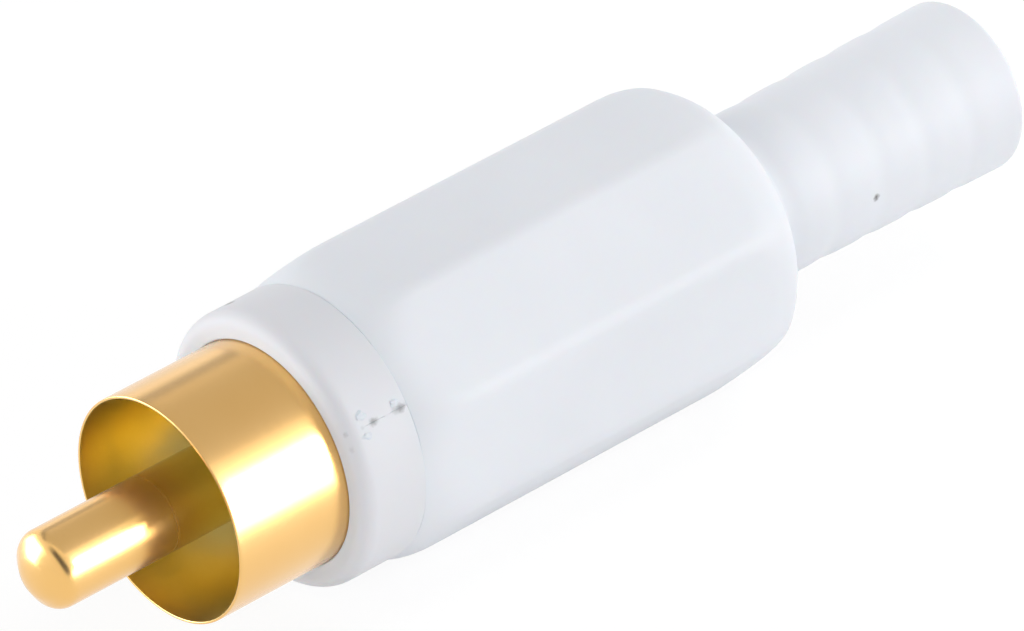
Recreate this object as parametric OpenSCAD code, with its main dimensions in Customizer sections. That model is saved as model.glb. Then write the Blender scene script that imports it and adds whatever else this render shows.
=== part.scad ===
// Phono plug for a coaxial cable: gold-plated contacts in a white moulded core, with a screw-on
// octagonal hood that ends in a ribbed bend relief.
// The plug lies on one flat of its hood. +X is the way it is pushed into a socket, and +Z is up.
// The origin is on the plug's axis, in the plane of the ground sleeve's mouth.

/* [Centre pin] */
// Diameter of the pin
pin_d = 3.1; // [2.8:0.05:3.3]
// How far the pin stands out in front of the ground sleeve
pin_reach = 6.1; // [3:0.05:8]
// Radius of the pin's rounded tip
pin_tip_round = 0.85; // [0.3:0.05:1.2]
// Diameter of the pin's shank inside the core
pin_shank_d = 2.6; // [2.2:0.05:2.9]
// Diameter of the stop collar behind the core
pin_stop_d = 4.2; // [3.6:0.1:5]
// Thickness of the stop collar
pin_stop_t = 0.8; // [0.4:0.1:1.5]
// Outside diameter of the solder cup
cup_d = 2.4; // [2:0.1:3]
// Bore of the solder cup
cup_bore_d = 1.6; // [1:0.1:1.8]
// Depth of the solder cup
cup_depth = 3.2; // [2.4:0.1:5]
// Length of the slanted mouth of the solder cup
cup_mouth = 1.2; // [0.5:0.1:1.8]

/* [Ground sleeve] */
// Outside diameter of the sleeve
sleeve_d = 9; // [8.6:0.05:9.6]
// Sheet thickness of the sleeve
sleeve_wall = 0.25; // [0.15:0.05:0.5]
// Length of the sleeve that shows in front of the core
sleeve_reach = 5.15; // [3:0.05:8]
// Length of the flared lead-in at the mouth
sleeve_flare = 2; // [0.2:0.1:3]
// Thickness of the rim that the lead-in leaves
sleeve_rim = 0.1; // [0.06:0.01:0.14]
// Rounding of the rim's outer edge
sleeve_edge_round = 0.04; // [0.02:0.01:0.05]
// Inside rounding between the sleeve's wall and its bottom
sleeve_corner_round = 0.4; // [0.2:0.05:0.8]
// Thickness of the sleeve's bottom
sleeve_bottom = 0.4; // [0.2:0.05:0.8]

/* [Core] */
// Diameter of the collar between sleeve and hood
collar_d = 11; // [10.6:0.05:11.6]
// Length of the collar
collar_len = 2.85; // [2.3:0.05:4]
// Rounding of the collar's front edge
collar_front_round = 0.45; // [0.1:0.05:0.6]
// Rounding of the collar's rear edge
collar_rear_round = 0.1; // [0.05:0.05:0.3]
// Depth of the socket that holds the sleeve and the lug's ring
socket_depth = 2.1; // [1.4:0.05:2.2]
// Outside diameter of the screw thread
thread_d = 9; // [8:0.1:9.4]
// Length of the screw thread
thread_len = 5; // [3:0.1:8]
// Diameter of the hub round the pin
hub_d = 5; // [4:0.1:5.2]
// Height of the hub above the socket's floor
hub_h = 1.2; // [0.9:0.05:2]

/* [Ground lug] */
// Sheet thickness of the lug
lug_t = 0.4; // [0.2:0.05:0.6]
// Inside diameter of the curved strip and the cable claws
claw_bore_d = 5.4; // [5.2:0.1:6]
// Angle that the strip takes up round the axis
strip_angle = 60; // [30:5:90]
// Angle that the claws take up round the axis
claw_angle = 230; // [190:5:270]
// Length of the claws
claw_len = 3; // [2:0.1:4]
// Distance from the solder cup's end to the claws
claw_gap = 1.2; // [0.8:0.1:2]
// Diameter of the solder hole in the strip
solder_hole_d = 1.2; // [0.8:0.1:1.6]

/* [Hood] */
// Size of the octagonal grip across its flats
grip_flats = 11.3; // [11:0.05:13]
// Rounding of the grip's long edges
grip_edge_round = 1; // [0.3:0.1:2]
// Length of the grip, from its front face to the end of the rear shoulder
grip_len = 19.65; // [18:0.05:26]
// Length over which the round front, as wide as the collar, grows into the octagon
grip_lead = 1.5; // [1:0.1:5]
// Rounding of the rear shoulder
shoulder_round = 3; // [1.5:0.1:3.2]
// Fillet between the shoulder and the bend relief
shoulder_fillet = 0.6; // [0.2:0.1:1]
// Diameter of the wide bore behind the thread
cavity_d = 8.4; // [8:0.1:9]
// Length from the end of the wide bore to the end of the shoulder
end_wall = 1.8; // [1.5:0.1:3]
// Length of the lead-in at the front of the thread bore
thread_lead = 0.3; // [0.1:0.05:0.4]

/* [Bend relief] */
// Diameter of the bend relief at the shoulder
relief_front_d = 6.6; // [6.3:0.05:7]
// Diameter of the bend relief at its end
relief_rear_d = 6.95; // [6.4:0.05:7.6]
// Length of the bend relief
relief_len = 12.7; // [12.2:0.1:20]
// Rounding of the end of the bend relief
relief_end_round = 0.25; // [0.1:0.05:0.4]
// Bore for the cable
cable_bore_d = 5.2; // [4:0.1:5.4]
// Chamfer at the cable bore's mouth
cable_bore_chamfer = 0.3; // [0.1:0.05:0.4]
// Number of ring grooves
groove_count = 5; // [0:1:8]
// Distance from the grip to the first groove
groove_from_grip = 0.85; // [0.5:0.05:3]
// Distance from the end of the bend relief to its last groove
groove_from_end = 2.65; // [1:0.05:4]
// Depth of a ring groove
groove_depth = 0.06; // [0.03:0.01:0.3]
// Radius of a ring groove
groove_radius = 2; // [0.4:0.1:4]

/* [Fits] */
// Radial clearance of the pressed and moulded-in pieces
press_gap = 0.02; // [0.01:0.01:0.05]
// Radial clearance of the screw thread
thread_gap = 0.08; // [0.05:0.01:0.1]
// Angle of play of the lug's strip in its slot, on each side
slot_play = 2; // [1:0.5:4]
// Gap between the collar and the hood's front face
seat_gap = 0.05; // [0.03:0.01:0.2]

/* [Hidden] */
$fn = 96;
// Cuts run past the faces that they open by this much
past = 1;
// Places along the axis, counted backwards from the sleeve's mouth
collar_front = sleeve_reach;
collar_rear = collar_front + collar_len;
socket_floor = collar_front + socket_depth;
hub_front = socket_floor - hub_h;
thread_end = collar_rear + thread_len;
cup_start = thread_end + pin_stop_t;
cup_end = cup_start + cup_depth;
claw_start = cup_end + claw_gap;
claw_end = claw_start + claw_len;
grip_front = collar_rear + seat_gap;
grip_rear = grip_front + grip_len;
relief_end = grip_rear + relief_len;
// Distance between ring grooves, which spread evenly over the bend relief
groove_pitch = (relief_len - groove_from_grip - groove_from_end) / max(groove_count - 1, 1);
// Radii
sleeve_r = sleeve_d / 2;
thread_r = thread_d / 2;
hub_r = hub_d / 2;
claw_r = claw_bore_d / 2;
cavity_r = cavity_d / 2;
cable_bore_r = cable_bore_d / 2;
relief_front_r = relief_front_d / 2;
relief_rear_r = relief_rear_d / 2;
// Centre and far corner of the grip's rounded edges
grip_corner_r = (grip_flats / 2 - grip_edge_round) / cos(22.5);
grip_r = grip_corner_r + grip_edge_round;
// Rounded corners and fillets reach this far into what they join, so that curves cross instead of touching
blend = 0.003;
// The round form that shapes the grip's two ends stands this far outside its corners
round_form_out = 0.1;
round_form_r = grip_r + round_form_out;
// Arc that leads from the collar's radius at the grip's front up to the round form
least_rise = 0.2;
lead_rise = max(round_form_r - collar_d / 2, least_rise);
lead_arc_r = (pow(grip_lead, 2) + pow(lead_rise, 2)) / (2 * lead_rise);
lead_end = grip_front + grip_lead;
// Centre of the shoulder's rounding, and of the fillet that runs from it into the bend relief
shoulder_centre = [round_form_r - shoulder_round, grip_rear - shoulder_round];
fillet_centre_r = relief_front_r + shoulder_fillet;
fillet_centre = [fillet_centre_r, shoulder_centre[1]
    + sqrt(pow(shoulder_round + shoulder_fillet, 2) - pow(fillet_centre_r - shoulder_centre[0], 2))];
white = [0.90, 0.91, 0.92];
gold = [0.85, 0.68, 0.30];

// Lays a shape that stands on the sleeve's mouth plane, with its tail up, along the plug's axis
module along_plug() {
    rotate([0, -90, 0]) children();
}

// Half section of a bar from the axis to r, with rounded outer corners where a rounding is over 0
module bar_section(r, start, end, start_round, end_round) {
    intersection() {
        translate([0, start]) square([r, end - start]);
        union() {
            translate([0, start + start_round]) square([r, end - start - start_round - end_round]);
            translate([0, start]) square([r - start_round, end - start - end_round]);
            translate([0, start + start_round]) square([r - end_round, end - start - start_round]);
            if (start_round > 0) translate([r - start_round, start + start_round]) circle(start_round);
            if (end_round > 0) translate([r - end_round, end - end_round]) circle(end_round);
        }
    }
}

// A solid bar on the axis
module bar(r, start, end) {
    translate([0, 0, start]) cylinder(h = end - start, r = r);
}

// A tube on the axis
module tube(inner_r, outer_r, start, end) {
    difference() {
        bar(outer_r, start, end);
        bar(inner_r, start - past, end + past);
    }
}

// A wedge from the axis out past r, centred below the axis when the plug lies down
module wedge(angle, r, start, end) {
    reach = 2 * r;
    half_width = reach * tan(angle / 2);
    translate([0, 0, start])
        linear_extrude(end - start)
            polygon([[0, 0], [-reach, -half_width], [-reach, half_width]]);
}

// Octagon with a flat on the ground side and rounded corners
module grip_outline() {
    tangent = grip_flats / 2 - grip_edge_round;
    half_flat = tangent * tan(22.5);
    polygon([for (i = [0:7]) for (side = [-1, 1])
        let (a = 45 * i, b = grip_flats / 2, c = side * half_flat)
            [b * cos(a) - c * sin(a), b * sin(a) + c * cos(a)]]);
    for (i = [0:7])
        rotate(45 * i + 22.5)
            translate([grip_corner_r, 0]) circle(grip_edge_round + blend);
}

module hood() {
    color(white) along_plug() intersection() {
        rotate_extrude() difference() {
            union() {
                grip_section();
                shoulder_fillet_section();
                relief_section();
            }
            hood_bore_section();
            for (i = [0:1:groove_count - 1])
                groove_section(relief_end - groove_from_end - i * groove_pitch);
        }
        translate([0, 0, grip_front - past])
            linear_extrude(relief_end - grip_front + 2 * past) grip_outline();
    }
}

// Round form of the grip, with its lead at the front and its shoulder at the rear
module grip_section() {
    intersection() {
        bar_section(round_form_r, grip_front, grip_rear, 0, shoulder_round);
        union() {
            translate([0, lead_end]) square([round_form_r + past, grip_len]);
            translate([round_form_r - lead_arc_r, lead_end]) circle(lead_arc_r + blend);
        }
    }
}

// Outer radius of the bend relief at a place along the axis
function relief_r(at) = relief_front_r + (relief_rear_r - relief_front_r) * (at - grip_rear) / relief_len;

module relief_section() {
    start = grip_rear - end_wall;
    after = relief_end + past;
    intersection() {
        polygon([[0, start], [relief_r(start), start], [relief_r(after), after], [0, after]]);
        bar_section(relief_rear_r, start - past, relief_end, 0, relief_end_round);
    }
}

// Fills the corner behind the shoulder up to a fillet that touches both shoulder and bend relief
module shoulder_fillet_section() {
    difference() {
        polygon([[0, shoulder_centre[1]], shoulder_centre, fillet_centre, [relief_front_r, fillet_centre[1]],
            [0, fillet_centre[1]]]);
        translate(fillet_centre) circle(shoulder_fillet + blend);
    }
}

module groove_section(at) {
    translate([relief_r(at) + groove_radius - groove_depth, at]) circle(groove_radius);
}

// Thread bore, wide bore and cable bore, from front to rear
module hood_bore_section() {
    bore_r = thread_r + thread_gap;
    bore_end = thread_end + thread_gap;
    cone_start = grip_rear - end_wall;
    cone_end = cone_start + cavity_r - cable_bore_r;
    chamfer_start = relief_end - cable_bore_chamfer;
    polygon([[0, grip_front - past], [bore_r + thread_lead + past, grip_front - past],
        [bore_r, grip_front + thread_lead], [bore_r, bore_end], [cavity_r, bore_end],
        [cavity_r, cone_start], [cable_bore_r, cone_end], [cable_bore_r, chamfer_start],
        [cable_bore_r + cable_bore_chamfer + past, relief_end + past], [0, relief_end + past]]);
}

module core() {
    color(white) along_plug() difference() {
        union() {
            difference() {
                rotate_extrude()
                    bar_section(collar_d / 2, collar_front, collar_rear, collar_front_round,
                        collar_rear_round);
                bar(sleeve_r + press_gap, collar_front - past, socket_floor);
            }
            bar(thread_r, socket_floor, thread_end);
            bar(hub_r, hub_front, socket_floor + past);
        }
        bar(pin_shank_d / 2 + press_gap, hub_front - past, thread_end + past);
        intersection() {
            tube(claw_r - press_gap, claw_r + lug_t + press_gap, socket_floor - past, thread_end + past);
            wedge(strip_angle + 2 * slot_play, claw_r + lug_t, socket_floor - past, thread_end + past);
        }
    }
}

module ground_sleeve() {
    bottom_rear = socket_floor - lug_t;
    bottom_front = bottom_rear - sleeve_bottom;
    bore_r = sleeve_r - sleeve_wall;
    mouth_r = sleeve_r - sleeve_rim;
    color(gold) along_plug() difference() {
        rotate_extrude()
            bar_section(sleeve_r, 0, bottom_rear, sleeve_edge_round, sleeve_corner_round + sleeve_wall);
        rotate_extrude() bar_section(bore_r, -past, bottom_front, 0, sleeve_corner_round);
        cylinder(h = sleeve_flare, r1 = mouth_r, r2 = bore_r);
        bar(hub_r + press_gap, bottom_front - past, bottom_rear + past);
    }
}

module centre_pin() {
    color(gold) along_plug() difference() {
        union() {
            rotate_extrude() bar_section(pin_d / 2, -pin_reach, hub_front - press_gap, pin_tip_round, 0);
            bar(pin_shank_d / 2, 0, cup_start);
            bar(pin_stop_d / 2, thread_end, cup_start);
            bar(cup_d / 2, thread_end, cup_end);
        }
        bar(cup_bore_d / 2, cup_start, cup_end + past);
        slanted_mouth();
    }
}

// Opens the upper side of the solder cup towards its end
module slanted_mouth() {
    rotate([90, 0, 0])
        linear_extrude(cup_d + past, center = true)
            polygon([[0, cup_end + past], [0, cup_end], [cup_d, cup_end - 2 * cup_mouth],
                [cup_d, cup_end + past]]);
}

module ground_lug() {
    outer_r = claw_r + lug_t;
    color(gold) along_plug() difference() {
        union() {
            tube(hub_r + press_gap, sleeve_r, socket_floor - lug_t, socket_floor);
            intersection() {
                tube(claw_r, outer_r, socket_floor - lug_t / 2, claw_start);
                wedge(strip_angle, outer_r, socket_floor - lug_t, claw_start);
            }
            difference() {
                tube(claw_r, outer_r, claw_start, claw_end);
                rotate([0, 0, 180]) wedge(360 - claw_angle, outer_r, claw_start - past, claw_end + past);
            }
        }
        translate([-outer_r, 0, (cup_start + cup_end) / 2])
            rotate([0, 90, 0]) cylinder(h = 4 * lug_t, d = solder_hole_d, center = true);
    }
}

hood();
core();
ground_sleeve();
centre_pin();
ground_lug();
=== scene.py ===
# %% [markdown]
# # A phono plug around its CAD frame
# The plug has five rigid pieces: a white hood, a white core, and a gold-plated sleeve, pin and lug.
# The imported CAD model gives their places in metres. This lesson builds the skin of each piece as a mesh
# of its own, so that edges can be softer and the screw thread can be real, and then lights the plug.

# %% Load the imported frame
import bmesh
import bpy
import math
from mathutils import Matrix, Vector, noise


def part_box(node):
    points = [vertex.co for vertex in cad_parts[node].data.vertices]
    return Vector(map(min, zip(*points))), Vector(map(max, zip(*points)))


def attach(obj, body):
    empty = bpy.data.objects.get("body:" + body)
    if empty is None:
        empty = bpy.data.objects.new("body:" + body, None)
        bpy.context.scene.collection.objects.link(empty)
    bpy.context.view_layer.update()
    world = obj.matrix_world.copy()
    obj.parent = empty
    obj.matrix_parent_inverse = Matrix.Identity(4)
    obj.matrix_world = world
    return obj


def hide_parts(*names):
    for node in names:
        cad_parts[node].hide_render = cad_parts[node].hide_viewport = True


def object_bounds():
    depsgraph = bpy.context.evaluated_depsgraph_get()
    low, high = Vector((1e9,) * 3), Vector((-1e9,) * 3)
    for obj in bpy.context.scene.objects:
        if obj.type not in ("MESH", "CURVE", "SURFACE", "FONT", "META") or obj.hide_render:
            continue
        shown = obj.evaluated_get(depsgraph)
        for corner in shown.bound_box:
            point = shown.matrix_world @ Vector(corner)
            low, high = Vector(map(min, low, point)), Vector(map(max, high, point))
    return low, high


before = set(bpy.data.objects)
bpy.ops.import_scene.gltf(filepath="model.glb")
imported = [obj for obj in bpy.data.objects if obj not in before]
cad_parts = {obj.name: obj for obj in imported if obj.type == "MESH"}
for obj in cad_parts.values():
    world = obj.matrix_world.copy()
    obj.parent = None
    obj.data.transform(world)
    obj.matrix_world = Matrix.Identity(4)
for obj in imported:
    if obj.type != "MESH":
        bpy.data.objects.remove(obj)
cad_box = [list(corner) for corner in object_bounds()]
MM = 0.001
print("CAD nodes:", sorted(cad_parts), "box:", cad_box)

# %% [markdown]
# ## Two helpers for materials
# Colours are easiest to pick as sRGB hex values, but shader sockets work in linear light, so one function
# converts them. A second one adds a node with its settings and links, which keeps each material short.

# %% Colours and nodes
def linear(hex_colour):
    """The linear RGBA of an sRGB hex colour."""
    parts = [int(hex_colour[i:i + 2], 16) / 255 for i in (1, 3, 5)]
    return [c / 12.92 if c <= 0.04045 else ((c + 0.055) / 1.055) ** 2.4 for c in parts] + [1.0]


def add_node(tree, kind, settings=None, links=None):
    """Adds a node. Settings are properties or socket values, and links join sockets to outputs."""
    node = tree.nodes.new(kind)
    for name, value in (settings or {}).items():
        if isinstance(name, str) and name in node.bl_rna.properties:
            setattr(node, name, value)
        else:
            node.inputs[name].default_value = value
    for name, output in (links or {}).items():
        tree.links.new(output, node.inputs[name])
    return node


def new_material(name):
    """An empty material with its node tree and its output node."""
    material = bpy.data.materials.new(name)
    material.use_nodes = True
    material.node_tree.nodes.clear()
    return material, material.node_tree, add_node(material.node_tree, "ShaderNodeOutputMaterial")


print("white as linear light:", [round(c, 3) for c in linear("#ffffff")])

# %% [markdown]
# ## Two white plastics
# Hood and core are moulded in two whites: satin ABS for the hood, and a slightly darker, warmer acetal for
# the core, which has to bear the heat of soldering. A spark-eroded mould gives both a fine grain, the melt
# leaves faint clouds where it flowed, and a little light goes into the plastic and softens its shading.
# The clouds could be painted, but noise in object space needs no UV map and rides with the piece.
# Grains of dirt sit in the tail and along the collar's parting line, as on the real plug. Each is a
# distance mask round a point of the surface, and noise in the coordinates makes their edges ragged.

# %% White plastics
CLOUD_MM, GRAIN_MM, RAGGED_MM = 7.0, 0.22, 0.12
DIRT, SPECK_CORE, SPECK_EDGE = "#4a4440", 0.3, 1.3


def white_plastic(name, tones, specks):
    """Moulded white plastic. Each speck is (place u behind the mouth, degrees, radius, size, darkness)."""
    material, tree, output = new_material(name)
    where = add_node(tree, "ShaderNodeTexCoord").outputs["Object"]
    clouds = add_node(tree, "ShaderNodeTexNoise", {"Scale": 1 / (CLOUD_MM * MM), "Detail": 3.0},
                      {"Vector": where})
    colour = add_node(tree, "ShaderNodeMix",
                      {"data_type": "RGBA", 6: linear(tones[0]), 7: linear(tones[1])},
                      {0: clouds.outputs["Fac"]}).outputs[2]
    ragged = add_node(tree, "ShaderNodeTexNoise", {"Scale": 1 / (RAGGED_MM * MM)}, {"Vector": where})
    nudged = add_node(tree, "ShaderNodeVectorMath", {"operation": "MULTIPLY_ADD", 1: (RAGGED_MM * MM,) * 3},
                      {0: ragged.outputs["Color"], 2: where}).outputs["Vector"]
    mean_nudge = Vector((0.5, 0.5, 0.5)) * RAGGED_MM
    for u, degrees, r, size, darkness in specks:
        angle = math.radians(degrees)
        spot = (Vector((-u, r * math.cos(angle), r * math.sin(angle))) + mean_nudge) * MM
        reach = add_node(tree, "ShaderNodeVectorMath", {"operation": "DISTANCE", 1: spot}, {0: nudged})
        mask = add_node(tree, "ShaderNodeMapRange",
                        {"From Min": SPECK_CORE * size * MM, "From Max": SPECK_EDGE * size * MM,
                         "To Min": darkness, "To Max": 0.0}, {"Value": reach.outputs["Value"]})
        colour = add_node(tree, "ShaderNodeMix", {"data_type": "RGBA", 7: linear(DIRT)},
                          {0: mask.outputs["Result"], 6: colour}).outputs[2]
    grain = add_node(tree, "ShaderNodeTexNoise", {"Scale": 1 / (GRAIN_MM * MM), "Detail": 2.0},
                     {"Vector": where})
    satin = add_node(tree, "ShaderNodeMapRange", {"To Min": 0.5, "To Max": 0.6},
                     {"Value": grain.outputs["Fac"]})
    relief = add_node(tree, "ShaderNodeBump", {"Strength": 0.12, "Distance": 0.004 * MM},
                      {"Height": grain.outputs["Fac"]})
    plastic = add_node(tree, "ShaderNodeBsdfPrincipled",
                       {"IOR": 1.53, "Subsurface Weight": 0.15, "Subsurface Scale": 0.5 * MM},
                       {"Base Color": colour, "Roughness": satin.outputs["Result"],
                        "Normal": relief.outputs["Normal"]})
    tree.links.new(plastic.outputs["BSDF"], output.inputs["Surface"])
    print("material:", name, len(tree.nodes), "nodes,", len(specks), "specks")
    return material


white_abs = white_plastic("white_abs_satin_moulded", ("#e5e8ee", "#eef1f7"), [
    (32.72, -4.0, 3.42, 0.16, 0.95)])
white_acetal = white_plastic("white_acetal_satin_moulded", ("#dfe0e5", "#e8e9ee"), [
    (7.5, 30.0, 5.5, 0.15, 0.26), (7.72, 30.1, 5.5, 0.17, 0.55), (7.9, 30.3, 5.5, 0.11, 0.22),
    (6.42, 30.3, 5.5, 0.16, 0.48), (6.6, 30.4, 5.5, 0.1, 0.2), (5.9, 30.2, 5.5, 0.08, 0.12),
    (5.2, 30.5, 5.3, 0.12, 0.32), (5.22, 24.0, 5.3, 0.12, 0.16), (6.35, 121.0, 5.5, 0.2, 0.6)])

# %% [markdown]
# ## Gold plate on turned brass
# Pin, sleeve and lug are brass with a thin flash of gold under a clear film against tarnish. The film is
# the shader's coat: its own broad white gloss softens the highlights. Turning leaves very fine rings round
# the axis, and the plate drifts a little in tone. Noise that hardly changes across the axis gives the
# rings. They are really about 0.02 mm apart, too fine to show, so they are drawn at 0.12 mm and only change
# the gloss.

# %% Gold tone and turning rings
RING_MM, DRIFT_MM, RING_DRIFT = 0.12, 3.5, 0.02

gold_plate, tree, output = new_material("gold_plate_on_turned_brass")
where = add_node(tree, "ShaderNodeTexCoord").outputs["Object"]
drift = add_node(tree, "ShaderNodeTexNoise", {"Scale": 1 / (DRIFT_MM * MM), "Detail": 2.0},
                 {"Vector": where})
polished = add_node(tree, "ShaderNodeMix",
                    {"data_type": "RGBA", 6: linear("#efba66"), 7: linear("#f4c374")},
                    {0: drift.outputs["Fac"]})
squeeze = add_node(tree, "ShaderNodeVectorMath",
                   {"operation": "MULTIPLY", 1: (1.0, RING_DRIFT, RING_DRIFT)}, {0: where})
rings = add_node(tree, "ShaderNodeTexNoise", {"Scale": 1 / (RING_MM * MM), "Detail": 2.0},
                 {"Vector": squeeze.outputs["Vector"]})
polish = add_node(tree, "ShaderNodeMapRange", {"To Min": 0.22, "To Max": 0.27},
                  {"Value": rings.outputs["Fac"]})
print("gold:", len(tree.nodes), "nodes so far, rings at", RING_MM, "mm")

# %% [markdown]
# ## Dull gold inside the sleeve, with painted light
# Between pin and sleeve, where no cloth reaches, the plate stays thinner and rather matt, with hardly any
# film.
# Its colour there is painted paler: painted light that lifts the shade the gold casts on itself deep in the
# cup.
# A second material would start at a hard line, so a mask by radius and depth fades in along the pin instead.

# %% Gold plate
INSIDE_R, INSIDE_FROM, INSIDE_FULL, INSIDE_TO = 4.42, -1.8, 1.6, 7.2
MATT_EXTRA, FILM_ROUGH, FILM_LOSS = 0.08, 0.45, 0.9

across = add_node(tree, "ShaderNodeVectorMath", {"operation": "MULTIPLY", 1: (0.0, 1.0, 1.0)}, {0: where})
radius = add_node(tree, "ShaderNodeVectorMath", {"operation": "LENGTH"}, {0: across.outputs["Vector"]})
within = add_node(tree, "ShaderNodeMath", {"operation": "LESS_THAN", 1: INSIDE_R * MM},
                  {0: radius.outputs["Value"]})
along = add_node(tree, "ShaderNodeSeparateXYZ", None, {0: where}).outputs["X"]
depth = add_node(tree, "ShaderNodeMapRange",
                 {"interpolation_type": "SMOOTHSTEP", "From Min": -INSIDE_FROM * MM,
                  "From Max": -INSIDE_FULL * MM}, {"Value": along})
above = add_node(tree, "ShaderNodeMath", {"operation": "GREATER_THAN", 1: -INSIDE_TO * MM}, {0: along})
in_cup = add_node(tree, "ShaderNodeMath", {"operation": "MULTIPLY"},
                  {0: within.outputs[0], 1: above.outputs[0]})
inside = add_node(tree, "ShaderNodeMath", {"operation": "MULTIPLY"},
                  {0: in_cup.outputs[0], 1: depth.outputs["Result"]})
finish = add_node(tree, "ShaderNodeMath", {"operation": "MULTIPLY_ADD", 1: MATT_EXTRA},
                  {0: inside.outputs[0], 2: polish.outputs["Result"]})
# painted light: inside the cup and on the pin near the mouth the gold is mixed towards a paler tone that
# lifts its shade
painted_light_tone = add_node(tree, "ShaderNodeMix", {"data_type": "RGBA", 7: linear("#f6e496")},
                {0: inside.outputs[0], 6: polished.outputs[2]})
film = add_node(tree, "ShaderNodeMath", {"operation": "MULTIPLY_ADD", 1: -FILM_LOSS, 2: 1.0},
                {0: inside.outputs[0]})
metal = add_node(tree, "ShaderNodeBsdfPrincipled", {"Metallic": 1.0, "Coat Roughness": FILM_ROUGH},
                 {"Base Color": painted_light_tone.outputs[2], "Roughness": finish.outputs[0],
                  "Coat Weight": film.outputs[0]})
tree.links.new(metal.outputs["BSDF"], output.inputs["Surface"])
print("material:", gold_plate.name, len(tree.nodes), "nodes")

# %% [markdown]
# ## Outlines with soft corners
# Every piece is round or nearly round, so each starts as a half section: corners in millimetres, given as
# distance u behind the sleeve's mouth, radius r, and a rounding. A bevel modifier could round the edges
# later, but here each corner takes its own radius, as it would on a drawing.

# %% Outline helper
ARC_STEPS = 8


def rounded_corner(before, corner, after, rounding):
    """Points of the arc that replaces a corner."""
    here = Vector(corner)
    back, ahead = (Vector(before) - here).normalized(), (Vector(after) - here).normalized()
    half = back.angle(ahead) / 2
    centre = here + (back + ahead).normalized() * rounding / math.sin(half)
    start = here + back * rounding / math.tan(half) - centre
    turn = start.angle_signed(here + ahead * rounding / math.tan(half) - centre)
    return [centre + Matrix.Rotation(-turn * i / ARC_STEPS, 2) @ start for i in range(ARC_STEPS + 1)]


def outline(corners, step, closed=True):
    """Turns (u, r, rounding) corners into (u, r) points that lie at most step apart."""
    points = []
    for i, (u, r, rounding) in enumerate(corners):
        if rounding:
            before, after = corners[i - 1][:2], corners[(i + 1) % len(corners)][:2]
            points += rounded_corner(before, (u, r), after, rounding)
        else:
            points.append(Vector((u, r)))
    filled = []
    for i, point in enumerate(points):
        filled.append(point)
        if i + 1 < len(points) or closed:
            ahead = points[(i + 1) % len(points)]
            parts = math.ceil((ahead - point).length / step)
            filled += [point.lerp(ahead, k / parts) for k in range(1, parts)]
    return filled


print("a rounded corner has", len(rounded_corner((0, 0), (1, 0), (1, 1), 0.2)), "points")

# %% [markdown]
# ## From outline to skin
# A Screw modifier would revolve an outline, but the hood is octagonal and the threads climb round the axis.
# So the skin is a grid: one copy of the outline per angle, with its radius changed by a function of place
# and angle. The angles bunch up at the octagon's edges, where the surface turns fastest.

# %% Skin helper
EDGE_STEP, FLAT_STEP = 0.8, 3.2
OCTANT_STEPS = ([-22.5 + EDGE_STEP * i for i in range(7)] + [-16 + FLAT_STEP * i for i in range(11)]
                + [17.7 + EDGE_STEP * i for i in range(6)])
ANGLES = [math.radians(45 * octant + step) for octant in range(8) for step in OCTANT_STEPS]
SHARP = math.radians(40)


def finished_object(name, mesh, material, body):
    """Links a mesh as a piece of a CAD body, with its finish."""
    mesh.shade_smooth()
    mesh.set_sharp_from_angle(angle=SHARP)
    piece = bpy.data.objects.new(name, mesh)
    bpy.context.scene.collection.objects.link(piece)
    mesh.materials.append(material)
    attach(piece, body)
    return piece


def revolved(name, points, shape, closed=True):
    """Mesh of the outline carried round the axis. shape(u, r, angle) gives the changed (u, r)."""
    count, columns = len(points), len(ANGLES)
    places = []
    for angle in ANGLES:
        for u, r in points:
            u, r = shape(u, r, angle)
            places.append((-u * MM, r * math.cos(angle) * MM, r * math.sin(angle) * MM))
    faces = []
    for column in range(columns):
        here, ahead = column * count, (column + 1) % columns * count
        for i in range(count if closed else count - 1):
            j = (i + 1) % count
            faces.append((here + i, here + j, ahead + j, ahead + i))
    mesh = bpy.data.meshes.new(name)
    mesh.from_pydata(places, [], faces)
    work = bmesh.new()
    work.from_mesh(mesh)
    bmesh.ops.remove_doubles(work, verts=work.verts, dist=1e-7)
    bmesh.ops.recalc_face_normals(work, faces=work.faces)
    work.to_mesh(mesh)
    work.free()
    return mesh


def plain_round(u, r, angle):
    """Leaves the outline as it is, for a piece that is round all over."""
    return u, r


print(len(ANGLES), "angles round the axis")

# %% [markdown]
# ## The screw thread
# Hood and core screw together. The real thread is a fine right-handed one with slightly flat crests. The
# CAD solids leave it out as a plain cylinder in a plain bore. Here it is cut into both walls, so it stays
# inside the solids and the hood can still be drawn straight back, which is how the joint moves.

# %% Thread form
THREAD_PITCH, THREAD_DEPTH, FLANK, ROOT = 0.75, 0.34, 2.6, 0.15


def thread_ridge(u, angle):
    """0 in the thread's groove and 1 on its crest."""
    phase = (u / THREAD_PITCH + angle / (2 * math.pi)) % 1.0
    return min(1.0, max(0.0, FLANK * (0.5 - abs(phase - 0.5)) - ROOT))


print("thread turns on 5 mm:", round(5 / THREAD_PITCH, 1))

# %% [markdown]
# ## The hood's outline
# The hood is one moulding: an octagonal grip with soft edges, a domed shoulder, and a thin bend relief
# with shallow rings. Its parts could be joined by booleans, but one outline for all of them leaves no seams.
# Arcs give the dome, the fillet at its foot and the lead, where the grip swells from its round front.

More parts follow.
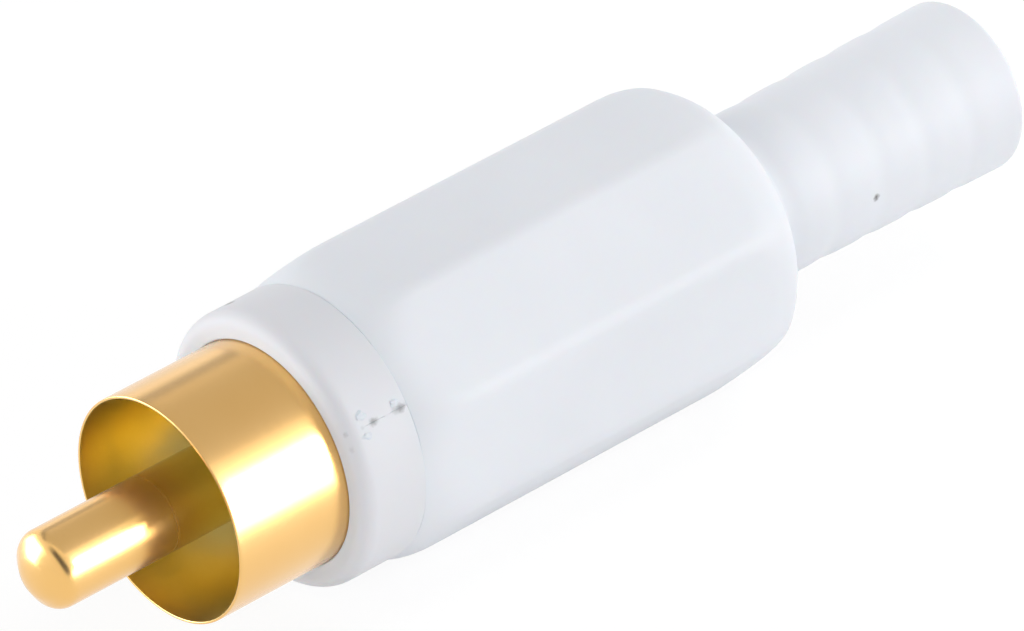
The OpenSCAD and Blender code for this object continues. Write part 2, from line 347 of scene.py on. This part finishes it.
# %% Dome, fillet and lead
hood_low, hood_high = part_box("hood")
GRIP_FRONT, TAIL_END = -hood_high.x / MM, -hood_low.x / MM
FLAT_R, EDGE_ROUND, ROUND_FORM_R = 5.65, 1.0, 6.133
GRIP_REAR, SHOULDER_ROUND, FILLET = 27.7, 3.0, 0.6
TAIL_FRONT_R, TAIL_REAR_R, TAIL_ROUND, CHAMFER = 3.3, 3.475, 0.25, 0.3
CABLE_R, CABLE_FROM, CAVITY_R, CAVITY_REAR, INNER_ROUND = 2.6, 27.5, 4.2, 25.9, 0.4
BORE_R, BORE_END = 4.58, 13.08
LEAD_LEN, LEAD_FRONT_R, FRONT_ROUND = 2.8, 5.5, 0.03
DOME_STEPS, BLEND_STEPS, LEAD_STEPS, LEAD_SKIP = 48, 10, 28, 4

shoulder = Vector((GRIP_REAR - SHOULDER_ROUND, ROUND_FORM_R - SHOULDER_ROUND))
fillet_r = TAIL_FRONT_R + FILLET
fillet_off = math.sqrt((SHOULDER_ROUND + FILLET) ** 2 - (fillet_r - shoulder.y) ** 2)
fillet = Vector((shoulder.x + fillet_off, fillet_r))
meet = math.atan2(fillet.y - shoulder.y, fillet.x - shoulder.x)
dome = [shoulder + SHOULDER_ROUND * Vector((math.cos(a), math.sin(a)))
        for a in [math.pi / 2 + (meet - math.pi / 2) * i / DOME_STEPS for i in range(DOME_STEPS + 1)]]
blend = [fillet - FILLET * Vector((math.cos(a), math.sin(a)))
         for a in [meet + (math.pi / 2 - meet) * i / BLEND_STEPS for i in range(1, BLEND_STEPS + 1)]]
lead_rise = ROUND_FORM_R - LEAD_FRONT_R
lead_arc = (LEAD_LEN ** 2 + lead_rise ** 2) / (2 * lead_rise)
lead = [(GRIP_FRONT + u, ROUND_FORM_R - lead_arc + math.sqrt(lead_arc ** 2 - (LEAD_LEN - u) ** 2), 0)
        for u in [LEAD_LEN * i / LEAD_STEPS for i in range(LEAD_SKIP, LEAD_STEPS + 1)]]
print("lead:", len(lead), "points, dome:", len(dome), "points")

# %% Hood outline
TAIL_GAP = 0.1

front = outline([(GRIP_FRONT, BORE_R + CHAMFER, 0), (GRIP_FRONT, LEAD_FRONT_R, FRONT_ROUND)] + lead
                + [(dome[0].x, dome[0].y, 0)], step=0.5, closed=False)
tail = outline([(blend[-1].x + TAIL_GAP, TAIL_FRONT_R, 0), (TAIL_END, TAIL_REAR_R, TAIL_ROUND),
                (TAIL_END, CABLE_R + CHAMFER, 0), (TAIL_END - CHAMFER, CABLE_R, 0)],
               step=0.11, closed=False)
hollow = outline([(TAIL_END - CHAMFER, CABLE_R, 0), (CABLE_FROM, CABLE_R, INNER_ROUND),
                  (CAVITY_REAR, CAVITY_R, INNER_ROUND), (BORE_END, CAVITY_R, 0)], step=0.6, closed=False)
bore = outline([(BORE_END, BORE_R, 0), (GRIP_FRONT + CHAMFER, BORE_R, 0),
                (GRIP_FRONT, BORE_R + CHAMFER, 0)], step=0.06, closed=False)
hood_points = front[:-1] + dome + blend + tail[:-1] + hollow + bore[:-1]
print("hood outline:", len(hood_points), "points,", round(TAIL_END - GRIP_FRONT, 2), "mm long")

# %% [markdown]
# ## The octagonal grip
# The grip starts round at the front and grows into the octagon over some millimetres. The smaller of two
# radii, the octagon's and the round outline's, gives grip and dome in one surface. A smooth minimum rounds
# the line where they meet, as a polished mould does.

# %% Grip radius
EDGE_CENTRE = (FLAT_R - EDGE_ROUND) / math.cos(math.pi / 8)
FLAT_HALF = math.atan((FLAT_R - EDGE_ROUND) * math.tan(math.pi / 8) / FLAT_R)
LEAD_SETTLE, LEAD_CRISP, LEAD_SOFT = 0.6, 0.02, 0.45
DOME_AHEAD, DOME_FADE, DOME_CRISP, DOME_SOFT = 0.5, 1.5, 0.08, 0.5


def octagon_radius(angle):
    """Radius of the rounded octagon at an angle from the middle of a flat."""
    off = abs((angle + math.pi / 8) % (math.pi / 4) - math.pi / 8)
    if off <= FLAT_HALF:
        return FLAT_R / math.cos(off)
    beside = math.pi / 8 - off
    aside = EDGE_CENTRE * math.sin(beside)
    return EDGE_CENTRE * math.cos(beside) + math.sqrt(EDGE_ROUND ** 2 - aside ** 2)


def smooth_min(a, b, width):
    """The smaller of a and b, with the crossing rounded over the given width."""
    h = max(0.0, min(1.0, 0.5 + 0.5 * (b - a) / width))
    return b + (a - b) * h - width * h * (1 - h)


def grip_radius(u, r, angle):
    """The smaller of the octagon's and the outline's radius, blended at the front and on the dome."""
    lead_left = 1 - (u - GRIP_FRONT) / (LEAD_LEN + LEAD_SETTLE)
    into_dome = (u - shoulder.x + DOME_AHEAD) / DOME_FADE
    if lead_left > 0:
        return smooth_min(r, octagon_radius(angle), LEAD_CRISP + LEAD_SOFT * lead_left)
    if into_dome > 0:
        return smooth_min(r, octagon_radius(angle), DOME_CRISP + DOME_SOFT * min(1.0, into_dome))
    return min(r, octagon_radius(angle))


print("octagon:", round(octagon_radius(0), 2), "mm to a flat and",
      round(octagon_radius(math.pi / 8), 2), "mm to an edge")

# %% [markdown]
# ## The hood's skin
# Shallow rings round the tail help it to bend with the cable. Each is a smooth dip in the radius, because
# a cut with sharp edges would catch the light as a hard line. The thread runs out at both ends of the bore.

# %% Hood skin
RING_PITCH, LAST_RING, RING_COUNT, RING_DEPTH, RING_HALF = 2.3, 2.65, 5, 0.045, 0.75
RINGS_FROM, RINGS_R, THREAD_START, THREAD_FADE, ON_WALL = 28.3, 2.95, 0.5, 0.3, 0.01


def hood_shape(u, r, angle):
    """Cuts the octagon, the rings of the bend relief and the inner thread into the round outline."""
    r = grip_radius(u, r, angle)
    if u > RINGS_FROM and r > RINGS_R:
        for ring in range(RING_COUNT):
            off = (u - (TAIL_END - LAST_RING - ring * RING_PITCH)) / RING_HALF
            r -= RING_DEPTH * (1 - off * off) ** 2 if abs(off) < 1 else 0.0
    from_chamfer = u - GRIP_FRONT - CHAMFER
    if from_chamfer > 0 and u < BORE_END and abs(r - BORE_R) < ON_WALL:
        fade = min(1.0, from_chamfer / THREAD_START, (BORE_END - u) / THREAD_FADE)
        r += THREAD_DEPTH * thread_ridge(u, angle) * fade
    return u, r


hood_mesh = revolved("hood_skin", hood_points, hood_shape)
hood = finished_object("hood_skin", hood_mesh, white_abs, "hood")
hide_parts("hood")
print("hood:", len(hood.data.vertices), "vertices,", [round(x / MM, 2) for x in hood.dimensions], "mm")

# %% [markdown]
# ## The core
# The core is the white insulator: a collar that shows between sleeve and hood, a socket for the sleeve, a
# hub round the pin, and the threaded stud. All of these are round, so one outline carried round the axis
# gives the whole piece, with fine steps so that the thread comes out clean.

# %% Core skin
core_low, core_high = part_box("core")
COLLAR_FRONT, STUD_END = -core_high.x / MM, -core_low.x / MM
COLLAR_R, COLLAR_REAR, SOCKET_R, SOCKET_FLOOR = 5.5, 8.045, 4.52, 7.25
STUD_R, STUD_NECK, HUB_R, HUB_FRONT, PIN_HOLE_R = 4.5, 0.2, 2.5, 6.05, 1.32

core_points = outline([
    (COLLAR_FRONT, SOCKET_R, 0.08), (COLLAR_FRONT, COLLAR_R, 0.6), (COLLAR_REAR, COLLAR_R, 0.03),
    (COLLAR_REAR, STUD_R, 0.1), (STUD_END, STUD_R, 0.35), (STUD_END, PIN_HOLE_R, 0),
    (HUB_FRONT, PIN_HOLE_R, 0), (HUB_FRONT, HUB_R, 0.12), (SOCKET_FLOOR, HUB_R, 0),
    (SOCKET_FLOOR, SOCKET_R, 0)], step=0.07)


def core_shape(u, r, angle):
    """Cuts the outer thread into the stud."""
    if u > COLLAR_REAR + STUD_NECK and r > STUD_R - THREAD_DEPTH:
        r = min(r, STUD_R - THREAD_DEPTH * (1 - thread_ridge(u, angle)))
    return u, r


core_mesh = revolved("core_skin", core_points, core_shape)
print("core:", len(core_mesh.vertices), "vertices before the slot")

# %% [markdown]
# ## The slot in the core
# A slot lets the ground lug's strip through to the cable. A revolved grid can't have a hole on one side
# only, so a boolean with a curved block cuts it.

# %% Block for the slot
def curved_block(name, u_span, r_span, angle_span, parts=16):
    """Closed mesh of a block that bends round the axis. Angles in degrees."""
    (front, back), (low, high) = u_span, r_span
    places, faces = [], []
    for i in range(parts + 1):
        angle = math.radians(angle_span[0] + (angle_span[1] - angle_span[0]) * i / parts)
        for u, r in [(front, low), (back, low), (back, high), (front, high)]:
            places.append((-u * MM, r * math.cos(angle) * MM, r * math.sin(angle) * MM))
    for i in range(parts):
        for k in range(4):
            here, beside = 4 * i + k, 4 * i + (k + 1) % 4
            faces.append((here, beside, beside + 4, here + 4))
    faces += [(0, 1, 2, 3), tuple(4 * parts + k for k in range(4))]
    mesh = bpy.data.meshes.new(name)
    mesh.from_pydata(places, [], faces)
    work = bmesh.new()
    work.from_mesh(mesh)
    bmesh.ops.recalc_face_normals(work, faces=work.faces)
    work.to_mesh(mesh)
    work.free()
    return mesh


STRIP_R, STRIP_T, STRIP_ANGLE, DOWN = 2.7, 0.4, 60, -90
SLOT_PLAY, SLOT_GAP, SLOT_AHEAD, SLOT_BEYOND = 2, 0.02, 0.3, 0.5
half_slot = STRIP_ANGLE / 2 + SLOT_PLAY
slot_block = curved_block(
    "slot_cutter", (SOCKET_FLOOR - SLOT_AHEAD, STUD_END + SLOT_BEYOND),
    (STRIP_R - SLOT_GAP, STRIP_R + STRIP_T + SLOT_GAP), (DOWN - half_slot, DOWN + half_slot))
print("slot block:", len(slot_block.vertices), "vertices")

# %% Slot for the lug's strip
cutter = bpy.data.objects.new("slot_cutter", slot_block)
uncut = bpy.data.objects.new("core_uncut", core_mesh)
for part in (cutter, uncut):
    bpy.context.scene.collection.objects.link(part)
cut = uncut.modifiers.new("slot", "BOOLEAN")
cut.object, cut.operation, cut.solver = cutter, "DIFFERENCE", "EXACT"
slotted = bpy.data.meshes.new_from_object(uncut.evaluated_get(bpy.context.evaluated_depsgraph_get()))
for part in (cutter, uncut):
    bpy.data.objects.remove(part)
slotted.materials.clear()
core = finished_object("core_skin", slotted, white_acetal, "insert")
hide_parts("core")
print("core:", len(slotted.vertices), "vertices with the slot")

# %% [markdown]
# ## Flash on the parting line
# Where the two halves of the core's mould met, a little plastic crept out as a ragged ridge along the
# collar. A bump map would be flat from the side, so the ridge is a strip of real mesh, with noise for its
# height and with its edges sunk into the collar.

# %% Flash ridge
FLASH_ANGLE, FLASH_FROM, FLASH_TO, FLASH_ROWS = 30.2, 5.8, 8.0, 60
FLASH_HIGH, FLASH_WIDE, FLASH_SUNK = 0.06, 0.9, -0.03
SWELL, SHARD, SHARD_SHARE, MEAN_SHARE = 2.6, 9.0, 0.5, 0.3


def on_collar(u, degrees, lift):
    """Point that stands a little way out from the collar's surface."""
    angle = math.radians(degrees)
    return Vector((-u, (COLLAR_R + lift) * math.cos(angle), (COLLAR_R + lift) * math.sin(angle))) * MM


def ridge_height(u):
    """Height of the ridge: slow swells with finer shards on them, cut off at the collar."""
    ragged = noise.noise((SWELL * u, 0.0, 0.0)) + SHARD_SHARE * noise.noise((SHARD * u, 3.0, 0.0))
    return FLASH_HIGH * max(0.0, MEAN_SHARE + ragged)


work = bmesh.new()
rows = []
for i in range(FLASH_ROWS + 1):
    u = FLASH_FROM + (FLASH_TO - FLASH_FROM) * i / FLASH_ROWS
    rows.append([work.verts.new(on_collar(u, FLASH_ANGLE + side * FLASH_WIDE / 2, lift))
                 for side, lift in ((-1, FLASH_SUNK), (0, ridge_height(u)), (1, FLASH_SUNK))])
for row, ahead in zip(rows, rows[1:]):
    for k in (0, 1):
        work.faces.new((row[k], row[k + 1], ahead[k + 1], ahead[k]))
print("ridge:", len(rows), "rows")

# %% [markdown]
# ## Burrs
# A few loose burrs stick to the collar beside the ridge. Each is a ball that noise makes ragged, squashed
# flat on the collar and half sunk in it. Scattered instances would do for many, but here three are listed
# one by one.

# %% Burrs
BURRS = [(7.55, 33.0, 0.19), (6.04, 34.6, 0.2), (5.94, 26.6, 0.17)]  # place u, degrees, size
BURR_FORM, BURR_RAGGED, BURR_GRAIN = Vector((1.1, 0.18, 0.8)), 0.7, 0.16

for u, degrees, size in BURRS:
    turned = Matrix.Rotation(math.radians(degrees), 4, "X")
    place = Matrix.Translation(on_collar(u, degrees, 0.0)) @ turned
    ball = bmesh.ops.create_icosphere(work, subdivisions=3, radius=size * MM)["verts"]
    for vert in ball:
        ragged = noise.noise(vert.co / (BURR_GRAIN * MM) + Vector((u, degrees, 0.0)))
        vert.co = place @ (vert.co * (1.0 + BURR_RAGGED * ragged) * BURR_FORM)
bmesh.ops.recalc_face_normals(work, faces=work.faces)
flash_mesh = bpy.data.meshes.new("core_flash")
work.to_mesh(flash_mesh)
work.free()
finished_object("core_flash", flash_mesh, white_acetal, "insert")
print("flash:", len(flash_mesh.vertices), "vertices,", len(BURRS), "burrs")

# %% [markdown]
# ## The ground sleeve
# The sleeve is a cup drawn from thin brass: a quarter of a millimetre of wall, a flared mouth whose rim is
# rounded and catches the light as a fine line, and a hole in its bottom for the core's hub. In the
# photograph its glow hardly tints the white collar, so it is hidden from diffuse rays.

# %% Sleeve skin
sleeve_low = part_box("ground_sleeve")[0]
SLEEVE_R, SLEEVE_BORE_R, RIM_R, FLARE, FLARE_ROUND = 4.5, 4.25, 4.4, 2.0, 12.0
SLEEVE_BACK, SLEEVE_BOTTOM, HUB_HOLE_R = -sleeve_low.x / MM, 0.4, 2.52

sleeve_points = outline([
    (0.0, RIM_R, 0.03), (0.0, SLEEVE_R, 0.05), (SLEEVE_BACK, SLEEVE_R, 0.65), (SLEEVE_BACK, HUB_HOLE_R, 0),
    (SLEEVE_BACK - SLEEVE_BOTTOM, HUB_HOLE_R, 0), (SLEEVE_BACK - SLEEVE_BOTTOM, SLEEVE_BORE_R, 0.4),
    (FLARE, SLEEVE_BORE_R, FLARE_ROUND)], step=0.4)
sleeve_mesh = revolved("ground_sleeve_skin", sleeve_points, plain_round)
sleeve = finished_object("ground_sleeve_skin", sleeve_mesh, gold_plate, "insert")
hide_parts("ground_sleeve")
sleeve.visible_diffuse = False
print("sleeve:", len(sleeve.data.vertices), "vertices, wall", SLEEVE_R - SLEEVE_BORE_R, "mm")

# %% [markdown]
# ## The centre pin
# The pin is turned from one bar: a slightly domed tip with a rounded edge, a shank through the core, a stop
# collar and a solder cup with a slanted mouth. Its outline starts and ends on the axis, so the skin closes
# there without a cap.

# %% Pin skin
pin_low, pin_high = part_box("centre_pin")
PIN_TIP, CUP_END = -pin_high.x / MM, -pin_low.x / MM
PIN_R, TIP_ROUND, TIP_DOME_R, SHANK_R, STOP_R, STOP_BACK = 1.55, 0.7, 2.2, 1.3, 2.1, 13.8
CUP_R, CUP_BORE_R, PIN_GAP = 1.2, 0.8, 0.02
PIN_BACK = HUB_FRONT - PIN_GAP

dome_tip = [(PIN_TIP + TIP_DOME_R - math.sqrt(TIP_DOME_R ** 2 - r ** 2), r)
            for r in (0, 0.2, 0.4, 0.6, 0.8, PIN_R)]
pin_points = outline([(u, r, 0) for u, r in dome_tip[:-1]] + [
    (*dome_tip[-1], TIP_ROUND), (PIN_BACK, PIN_R, 0.05), (PIN_BACK, SHANK_R, 0), (STUD_END, SHANK_R, 0),
    (STUD_END, STOP_R, 0.1), (STOP_BACK, STOP_R, 0.1), (STOP_BACK, CUP_R, 0.1), (CUP_END, CUP_R, 0.06),
    (CUP_END, CUP_BORE_R, 0.06), (STOP_BACK, CUP_BORE_R, 0), (STOP_BACK, 0, 0)], step=0.3, closed=False)


def pin_shape(u, r, angle):
    """Slants the mouth of the solder cup on its upper side."""
    share = max(0.0, (u - STOP_BACK) / (CUP_END - STOP_BACK))
    return u - share * max(0.0, r * math.sin(angle)), r


pin_mesh = revolved("centre_pin_skin", pin_points, pin_shape, closed=False)
pin = finished_object("centre_pin_skin", pin_mesh, gold_plate, "insert")
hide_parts("centre_pin")
print("pin:", len(pin.data.vertices), "vertices, from", round(PIN_TIP, 2), "to", round(CUP_END, 2), "mm")

# %% [markdown]
# ## The ground lug
# The lug is stamped from flat brass: a ring behind the sleeve, a strip through the core and two claws for
# the cable. Its CAD solid already has the whole shape, so it stays and only gets the gold finish.

# %% Lug finish
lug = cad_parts["ground_lug"]
lug.data.materials.clear()
lug.data.materials.append(gold_plate)
print("lug keeps its CAD mesh:", len(lug.data.vertices), "vertices")

# %% [markdown]
# ## Floor and background
# The plug lies in a white studio on a matt white floor. A real studio overexposes both until they are pure
# white. Here floor and world turn white for camera, glossy and transmission rays only, so that they don't
# flood the plug with light, and the floor keeps some shading for the shadow.

# %% Floor
FLOOR_SIZE, FLOOR_WHITE_SHARE, FLOOR_GLOW = 12.0, 0.85, 1.05


def sees_background(tree):
    """Output that is 1 for camera, glossy and transmission rays."""
    path = add_node(tree, "ShaderNodeLightPath")
    either = add_node(tree, "ShaderNodeMath", {"operation": "MAXIMUM"},
                      {0: path.outputs["Is Camera Ray"], 1: path.outputs["Is Glossy Ray"]})
    return add_node(tree, "ShaderNodeMath", {"operation": "MAXIMUM"},
                    {0: either.outputs[0], 1: path.outputs["Is Transmission Ray"]}).outputs[0]


def panel(name, width, height, material):
    """A sheet that stands in the studio and isn't part of the plug."""
    mesh = bpy.data.meshes.new(name)
    w, h = width / 2, height / 2
    mesh.from_pydata([(-w, -h, 0), (w, -h, 0), (w, h, 0), (-w, h, 0)], [], [(0, 1, 2, 3)])
    mesh.materials.append(material)
    sheet = bpy.data.objects.new(name, mesh)
    bpy.context.scene.collection.objects.link(sheet)
    return sheet


floor_paint, tree, output = new_material("matt_white_floor")
paint = add_node(tree, "ShaderNodeBsdfDiffuse", {"Color": linear("#f4f4f4")})
glow = add_node(tree, "ShaderNodeEmission", {"Color": linear("#ffffff"), "Strength": FLOOR_GLOW})
share = add_node(tree, "ShaderNodeMath", {"operation": "MULTIPLY", 1: FLOOR_WHITE_SHARE},
                 {0: sees_background(tree)})
mixed = add_node(tree, "ShaderNodeMixShader", None,
                 {0: share.outputs[0], 1: paint.outputs["BSDF"], 2: glow.outputs["Emission"]})
tree.links.new(mixed.outputs["Shader"], output.inputs["Surface"])
floor = panel("floor", FLOOR_SIZE, FLOOR_SIZE, floor_paint)
floor.location.z = cad_box[0][2]
print("floor at", round(floor.location.z / MM, 3), "mm")

# %% World
WORLD_LEVEL = 0.6
world = bpy.data.worlds.new("white_studio")
bpy.context.scene.world = world
world.use_nodes = True
tree = world.node_tree
tree.nodes.clear()
ambient = add_node(tree, "ShaderNodeBackground", {"Color": linear("#ffffff"), "Strength": WORLD_LEVEL})
white = add_node(tree, "ShaderNodeBackground", {"Color": linear("#ffffff"), "Strength": 1.0})
sky = add_node(tree, "ShaderNodeMixShader", None,
               {0: sees_background(tree), 1: ambient.outputs["Background"], 2: white.outputs["Background"]})
add_node(tree, "ShaderNodeOutputWorld", None, {"Surface": sky.outputs["Shader"]})
print("world level", WORLD_LEVEL)

# %% [markdown]
# ## Soft boxes
# An upright soft box stands low on the tail's side, and a broad one on the far side of the pin. Two small
# fills close by lift the white plastic at both ends, hidden from glossy rays so that gold shows no spots of
# them. Gold is mostly what it mirrors, so it also has cards of its own, kept to the gold by light linking.

# %% Soft boxes
def aimed(piece, azimuth, elevation, distance, roll=0.0):
    """Stands a light or a sheet in a direction, in degrees, so that its face looks at the plug."""
    flat = math.cos(math.radians(elevation))
    away = Vector((flat * math.cos(math.radians(azimuth)), flat * math.sin(math.radians(azimuth)),
                   math.sin(math.radians(elevation)))) * distance
    turn = away.to_track_quat("Z", "Y").to_matrix().to_4x4()
    piece.matrix_world = Matrix.Translation(away) @ turn @ Matrix.Rotation(math.radians(roll), 4, "Z")


gold_pieces = bpy.data.collections.new("gold_pieces")
for piece in (sleeve, pin, lug):
    gold_pieces.objects.link(piece)
SOFT_BOXES = [  # name, azimuth, elevation, distance, width, height, watts, lights
    ("key_strip", 131, 12, 0.45, 0.1, 0.2, 0.57, "all"),
    ("front_box", -50, 12, 0.8, 0.7, 0.4, 3.5, "all"),
    ("tail_fill", 175, 45, 0.16, 0.07, 0.07, 0.08, "matt"),
    ("nose_fill", 40, 20, 0.12, 0.06, 0.06, 0.033, "matt"),
    ("gold_card", 131, 11, 0.46, 0.18, 0.19, 2.6, "gold"),
    ("gold_front", -58, 12, 0.78, 0.8, 0.5, 5.0, "gold"),
    ("gold_top", -165, 60, 1.7, 3.4, 3.4, 13.5, "gold"),
    ("gold_edge", -128, 22, 1.5, 1.4, 0.9, 0.7, "gold"),
    ("gold_low", 125, 0, 0.032, 0.06, 0.011, 0.012, "gold")]
for name, azimuth, elevation, distance, width, height, watts, lights in SOFT_BOXES:
    light = bpy.data.lights.new(name, "AREA")
    light.shape, light.size, light.size_y, light.energy = "RECTANGLE", width, height, watts
    lamp = bpy.data.objects.new(name, light)
    bpy.context.scene.collection.objects.link(lamp)
    aimed(lamp, azimuth, elevation, distance)
    lamp.visible_camera, lamp.visible_glossy = False, lights != "matt"
    if lights == "gold":
        lamp.light_linking.receiver_collection = gold_pieces
    print(name, "radiance", round(watts / (math.pi * width * height), 2), "lights", lights)

# %% [markdown]
# ## Scrim and flags
# Gold that mirrored white all round would look flat. A grey scrim overhead and two flags behind the camera
# give it darker bands. They are sheets that glow at a set level, which stays the same from every side.

# %% Scrim and flags
SHEETS = [  # name, azimuth, elevation, distance, roll, width, height, level
    ("scrim", -160, 60, 1.75, 0, 3.2, 3.2, 0.28),
    ("grey_flag", 50, 31.5, 1.65, 42, 0.95, 3.6, 0.5),
    ("dark_flag", 50, 31.5, 1.6, 42, 0.7, 2.2, 0.06)]
for name, azimuth, elevation, distance, roll, width, height, level in SHEETS:
    cloth, tree, output = new_material(name + "_cloth")
    lit = add_node(tree, "ShaderNodeEmission", {"Color": linear("#ffffff"), "Strength": level})
    tree.links.new(lit.outputs["Emission"], output.inputs["Surface"])
    aimed(panel(name, width, height, cloth), azimuth, elevation, distance, roll)
print("sheets:", [sheet[0] for sheet in SHEETS])

# %% [markdown]
# ## The camera
# The photograph was taken from some way off with a long lens: the barrel's edges hardly converge. The
# place, the aim and the roll below were found by laying the plug's outline over the picture.

# %% Camera
CAMERA_AT, CAMERA_AIM = (206.98, 267.56, 213.98), (-17.28, 0.0, 0.31)
CAMERA_ROLL, LENS_MM = -4.354, 389.8

lens = bpy.data.cameras.new("camera")
lens.sensor_fit, lens.sensor_width, lens.lens = "HORIZONTAL", 36.0, LENS_MM
lens.clip_start, lens.clip_end = 0.01, 50.0
camera = bpy.data.objects.new("camera", lens)
bpy.context.scene.collection.objects.link(camera)
place, aim = Vector(CAMERA_AT) * MM, Vector(CAMERA_AIM) * MM
turn = (aim - place).to_track_quat("-Z", "Y").to_matrix().to_4x4()
camera.matrix_world = Matrix.Translation(place) @ turn @ Matrix.Rotation(math.radians(CAMERA_ROLL), 4, "Z")
bpy.context.scene.camera = camera
bpy.context.scene.view_settings.view_transform = "Standard"
print("camera distance", round((aim - place).length, 3), "m")
